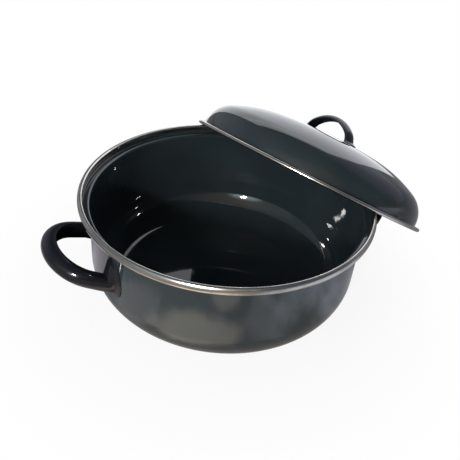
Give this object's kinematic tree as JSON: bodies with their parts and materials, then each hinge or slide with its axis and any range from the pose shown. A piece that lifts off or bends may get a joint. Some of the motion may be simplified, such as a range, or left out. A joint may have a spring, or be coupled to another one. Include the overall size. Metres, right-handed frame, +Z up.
{
  "type": "enamel dutch oven",
  "caption": "Round black enamelled steel dutch oven with steel-banded rims, pressed strap handles and a domed lid leaning against the pot.",
  "frame": {"origin": "middle of the underside of the pot's flat base, on the floor", "axes": "+Z up, +X through the right side handle, the lid leans on the +X +Y side of the pot"},
  "size_m": [0.4268, 0.3344, 0.166],
  "materials": {
    "enamel": "glossy black vitreous enamel on pressed steel",
    "handle_enamel": "glossy black vitreous enamel on pressed steel strap",
    "rim_steel": "satin stainless steel band"
  },
  "bodies": {
    "root": {"pot_body": "enamel", "pot_rim_band": "rim_steel", "left_side_handle": "handle_enamel", "right_side_handle": "handle_enamel", "lid_shell": "enamel", "lid_rim_band": "rim_steel", "lid_handle": "handle_enamel"}
  },
  "joints": []
}
